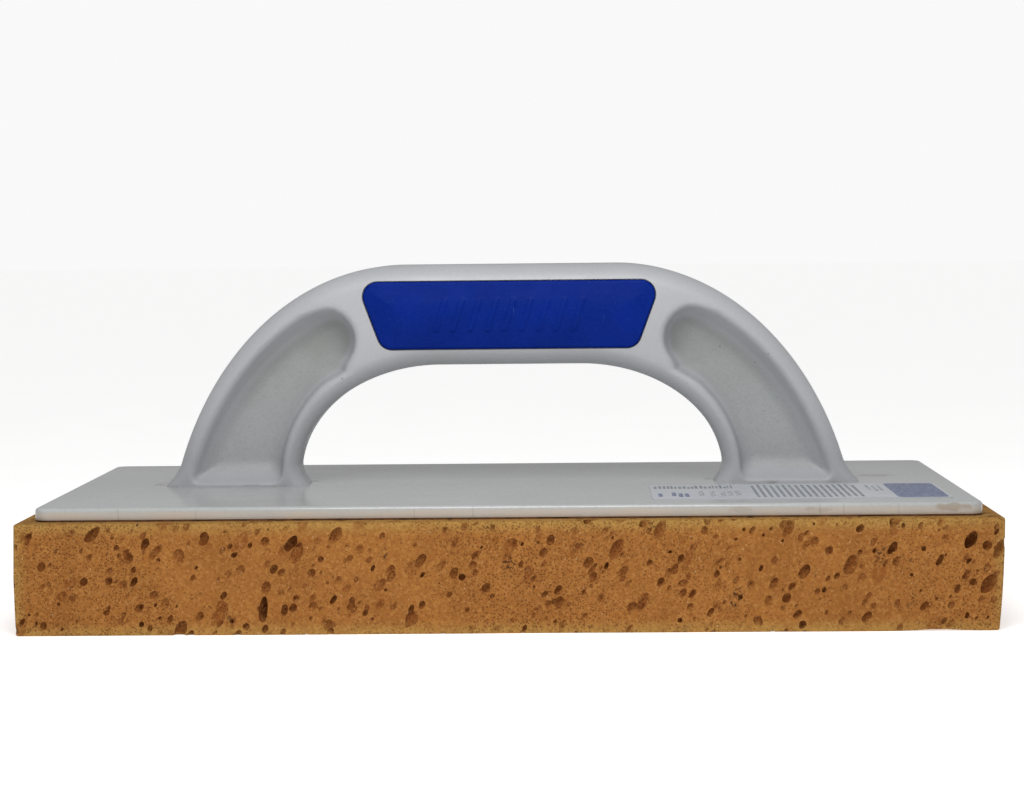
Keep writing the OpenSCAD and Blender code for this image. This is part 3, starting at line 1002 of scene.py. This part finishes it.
def settle_pad(points):
    """Bends the pad a little: a curled right end, a lifted lip and an uneven front."""
    x, y, z = points.T
    height = z / SPONGE_HIGH[2]
    right = smooth_step(SPONGE_HIGH[0] - CURL_L, SPONGE_HIGH[0], x)
    left = smooth_step(SPONGE_LOW[0] + PINCH_L, SPONGE_LOW[0], x)
    moved = points.copy()
    moved[:, 0] -= right * (CURL * (1 - height) ** 2 - CURL_TOP)
    moved[:, 0] += left * END_PINCH * np.abs(2 * height - 1)
    wave = np.sin(x / 23 + 1) + 0.6 * np.sin(x / 9.1 + z / 11)
    front = smooth_step(SPONGE_LOW[1] + PINCH_L, SPONGE_LOW[1], y)
    rear = smooth_step(SPONGE_HIGH[1] - PINCH_L, SPONGE_HIGH[1], y)
    moved[:, 1] += (front - rear) * (SIDE_PINCH + SIDE_WAVE * wave)
    lip = np.maximum(0, 1 - np.abs(x - LIP_X) / LIP_HALF) ** 1.3
    low_front = smooth_step(SPONGE_LOW[1] + LIP_DEPTH, SPONGE_LOW[1], y) * smooth_step(LIP_H, 0, z)
    moved[:, 2] += LIP_LIFT * lip * low_front
    return moved


def make_sponge(material):
    """The sponge pad, with its pores cut into the outside."""
    piece = link_piece("sponge_foam", pad_grid(), material, "sponge_pad")
    for solids in pore_groups(np.random.default_rng(SEED)):
        carve(piece, solids)
    mesh = piece.data
    points = np.empty(len(mesh.vertices) * 3)
    mesh.vertices.foreach_get("co", points)
    points = points.reshape(-1, 3) / MM
    below = np.minimum(points - SPONGE_LOW, SPONGE_HIGH - points).min(axis=1)
    pit = mesh.attributes.new("pit", "FLOAT", "POINT")
    pit.data.foreach_set("value", np.clip((below - 0.05) / PIT_DEPTH, 0, 1))
    mesh.vertices.foreach_set("co", (settle_pad(points) * MM).ravel())
    mesh.update()
    shade(mesh, sharp_degrees=38)


def make_glue(material):
    """The film of glue, with a ragged edge that shows in the seam."""
    length, width = PLATE_HIGH[0] - PLATE_LOW[0], PLATE_HIGH[1] - PLATE_LOW[1]
    rng = np.random.default_rng(SEED + 1)
    corners = round_rectangle(length, width, PLATE_CORNER_R, 5)
    outline = []
    for i, (x, y) in enumerate(corners):
        next_x, next_y = corners[(i + 1) % len(corners)]
        pieces = max(1, int(math.hypot(next_x - x, next_y - y) / GLUE_STEP))
        for k in range(pieces):
            outline.append((mix(x, next_x, k / pieces), mix(y, next_y, k / pieces)))
    rough = rng.uniform(0, 1, len(outline))
    rough = (rough + np.roll(rough, 1) + np.roll(rough, 2)) / 3
    ragged = []
    for (x, y), share in zip(outline, rough):
        inset = mix(*GLUE_INSET, share)
        ragged.append((x - math.copysign(min(inset, abs(x)), x) * (abs(x) > length / 2 - GLUE_RIM),
                       y - math.copysign(min(inset, abs(y)), y) * (abs(y) > width / 2 - GLUE_RIM)))
    mesh = mesh_from("glue", *prism(ragged, GLUE_LOW[2], GLUE_HIGH[2]))
    link_piece("glue_seam", mesh, material, "glue_film")


def label_marks(rng):
    """Plain generic print, as (ink, x, y, length, width) from the label's left front corner."""
    marks = []
    # A row of bars at the far edge, on the left
    x, last_x = BARS_X
    while x < last_x:
        wide = rng.uniform(0.35, 0.9)
        marks.append(("grey", x, BARS_Y, wide, rng.uniform(5, 9)))
        x += wide + rng.uniform(0.3, 0.7)
    # Short blue and grey dashes below them
    for x in BLUE_DASHES_X:
        marks.append(("blue", x, rng.uniform(5, 8), 1.2, rng.uniform(7, 10)))
    for x in GREY_DASHES_X:
        y = rng.uniform(6, 9)
        for step in range(6):
            dash = rng.uniform(0.9, 2.6)
            marks.append(("grey", x + 0.8 * (step % 2), y, 0.65, dash))
            y += dash + rng.uniform(0.3, 0.9)
    # Lines of short dashes across the middle
    for row in range(LINE_COUNT):
        y = rng.uniform(2.5, 4.0)
        end = rng.uniform(34, 38)
        while y < end:
            dash = rng.uniform(0.9, 3.2)
            marks.append(("grey", LINES_X + LINE_PITCH * row, y, 0.85, dash))
            y += dash + rng.uniform(0.35, 0.7)
    # Three short lines next to the block
    for row in range(3):
        y = rng.uniform(18, 22)
        for _ in range(5):
            marks.append(("grey", NOTE_X + NOTE_PITCH * row, y, 0.8, rng.uniform(0.8, 2.2)))
            y += NOTE_STEP
    return marks


def make_label(film, grey, blue):
    """The label: a thin film, with its print and a plain block standing just proud of it."""
    rng = np.random.default_rng(SEED + 2)
    length, width = (LABEL_HIGH - LABEL_LOW)[:2]
    middle = (LABEL_HIGH + LABEL_LOW)[:2] / 2
    ink = (LABEL_HIGH[2] - INK_T, LABEL_HIGH[2] + INK_T)
    outline = [(x + middle[0], y + middle[1]) for x, y in round_rectangle(length, width, LABEL_R)]
    solids = [prism(outline, LABEL_LOW[2], LABEL_HIGH[2])]
    slots = [0] * len(solids[0][1])
    for kind, x, y, long, wide in label_marks(rng):
        x, y = x + LABEL_LOW[0], y + LABEL_LOW[1]
        corners = [(x, y), (x + long, y), (x + long, y + wide), (x, y + wide)]
        solids.append(prism(corners, *ink))
        slots += [1 if kind == "grey" else 2] * len(solids[-1][1])
    block = [(x + LABEL_HIGH[0] - BLOCK_MIDDLE, y + middle[1])
             for x, y in round_rectangle(*BLOCK_SIZE, BLOCK_R)]
    solids.append(prism(block, *ink))
    slots += [2] * len(solids[-1][1])
    mesh = mesh_from("label", *joined(solids))
    link_piece("label_film", mesh, film, "label_sticker")
    mesh.materials.append(grey)
    mesh.materials.append(blue)
    mesh.polygons.foreach_set("material_index", slots)


# ---------------------------------------------------------------- stage

# Camera: its place in millimetres, then its turn to the left, its dip and its roll in degrees
CAMERA_PLACE = (19.6, -756.7, 111.8)
CAMERA_TURNS = (1.46, 3.8, 0.59)
LENS = 86.27
SENSOR_W = 36

# Lamp, in metres and watts
LAMP_PLACE = (0, -0.27, 0.347)
LAMP_AIM = (0, 0, 0.05)
LAMP_POWER = 0.99
LAMP_SIZE = 0.22

FLOOR_HALF = 9000
FLOOR_GLOW = 0.53
# The surround is white to look at and dimmer as a source of light
SURROUND_LIGHT = 0.42
SURROUND_SEEN = 0.95


def make_camera():
    """A long lens, close to level, a little to the right of the middle and turned left."""
    yaw, pitch, roll = [math.radians(turn) for turn in CAMERA_TURNS]
    ahead = Vector((-math.sin(yaw) * math.cos(pitch), math.cos(yaw) * math.cos(pitch),
                    -math.sin(pitch)))
    data = bpy.data.cameras.new("camera")
    data.lens = LENS
    data.sensor_width = SENSOR_W
    camera = add_object("camera", data)
    turn = ahead.to_track_quat("-Z", "Y").to_matrix() @ Matrix.Rotation(-roll, 3, "Z")
    camera.matrix_world = Matrix.Translation(Vector(CAMERA_PLACE) * MM) @ turn.to_4x4()
    bpy.context.scene.camera = camera


def make_lamp():
    """One soft lamp above the front of the float, which the camera doesn't see."""
    data = bpy.data.lights.new("lamp", "AREA")
    data.energy = LAMP_POWER
    data.size = LAMP_SIZE
    lamp = add_object("lamp", data)
    lamp.location = LAMP_PLACE
    aim = Vector(LAMP_AIM) - Vector(LAMP_PLACE)
    lamp.rotation_euler = aim.to_track_quat("-Z", "Y").to_euler()
    lamp.visible_camera = False


def make_floor():
    """A wide pale floor with a glow of its own."""
    f = Finish("floor")
    colour = f.blend(f.band(f.noise(60, 3), 0.3, 0.7), paint(252, 252, 251), paint(250, 250, 249))
    f.finish(colour, 0.95, Specular_IOR_Level=0.1, Emission_Color=(1, 1, 1, 1),
             Emission_Strength=FLOOR_GLOW)
    corners = [(x * FLOOR_HALF, y * FLOOR_HALF, 0) for x, y in ((-1, -1), (1, -1), (1, 1), (-1, 1))]
    mesh = mesh_from("floor", corners, [(0, 1, 2, 3)])
    floor = add_object("floor", mesh)
    mesh.materials.append(f.material)


def make_surround():
    """The even light from all round."""
    world = bpy.data.worlds.new("surround")
    world.use_nodes = True
    nodes, links = world.node_tree.nodes, world.node_tree.links
    seen = nodes.new("ShaderNodeLightPath").outputs["Is Camera Ray"]
    level = nodes.new("ShaderNodeMapRange")
    level.inputs["To Min"].default_value = SURROUND_LIGHT
    level.inputs["To Max"].default_value = SURROUND_SEEN
    links.new(seen, level.inputs["Value"])
    nodes["Background"].inputs["Color"].default_value = (1, 1, 1, 1)
    links.new(level.outputs[0], nodes["Background"].inputs["Strength"])
    bpy.context.scene.world = world


def main():
    """Sets up the stage and then makes every piece."""
    bpy.context.scene.view_settings.view_transform = "Standard"
    make_camera()
    make_floor()
    make_surround()
    make_lamp()
    make_sponge(sponge_finish())
    make_glue(glue_finish())
    make_plate(plate_finish())
    make_handle(handle_finish())
    make_inlays(inlay_finish())
    make_label(film_finish(), ink_finish("grey_ink", 104, 108, 113),
               ink_finish("blue_ink", 72, 86, 128))
    steel = steel_finish()
    for name in ("left_outer", "left_inner", "right_inner", "right_outer"):
        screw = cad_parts["screw_" + name].data
        screw.materials.clear()
        screw.materials.append(steel)


main()
